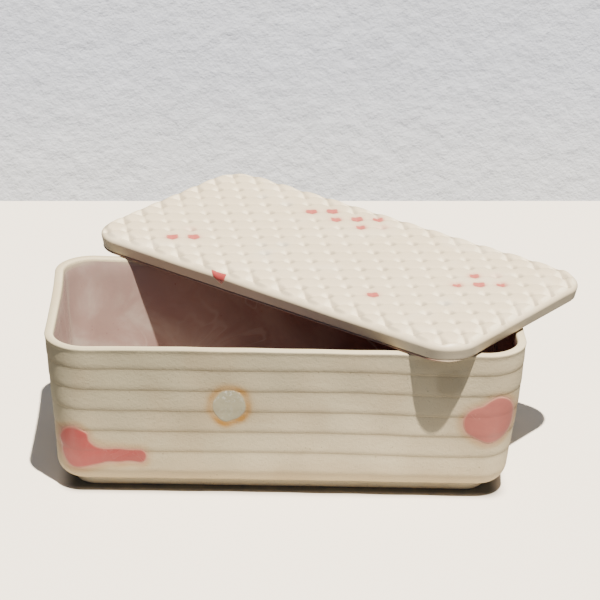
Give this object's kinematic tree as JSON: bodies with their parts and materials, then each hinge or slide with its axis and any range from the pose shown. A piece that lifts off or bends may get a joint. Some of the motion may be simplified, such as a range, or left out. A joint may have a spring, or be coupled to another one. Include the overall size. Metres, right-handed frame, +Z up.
{
  "type": "lidded bobbin box",
  "caption": "Low rectangular clay box with rounded corners, banded walls and a glazed inside, under a loose slab lid with low domes that lies turned across the rim.",
  "frame": {"origin": "middle of the foot's underside, on the surface that the box stands on", "axes": "+X along the length of the box, +Z up, and -Y out of the front wall, which carries the glaze marks"},
  "size_m": [0.2359, 0.1996, 0.0809],
  "materials": {
    "clay": "matte",
    "pale_clay": "satin",
    "inside_glaze": "gloss",
    "pink_glaze": "gloss",
    "ash_glaze": "satin"
  },
  "bodies": {
    "box": {"wall": "clay", "floor_slab": "clay", "inner_glaze": "inside_glaze", "ash_mark": "ash_glaze", "pink_blob": "pink_glaze", "pink_boot": "pink_glaze"},
    "lid": {"lid_slab": "pale_clay", "lid_ring": "inside_glaze", "pit_glaze": "pink_glaze", "edge_drip": "pink_glaze"}
  },
  "joints": [
    {"name": "lid_lift", "type": "slide", "parent": "box", "child": "lid", "axis": [0, 0, 1], "range_m": [0, 0.09]}
  ]
}
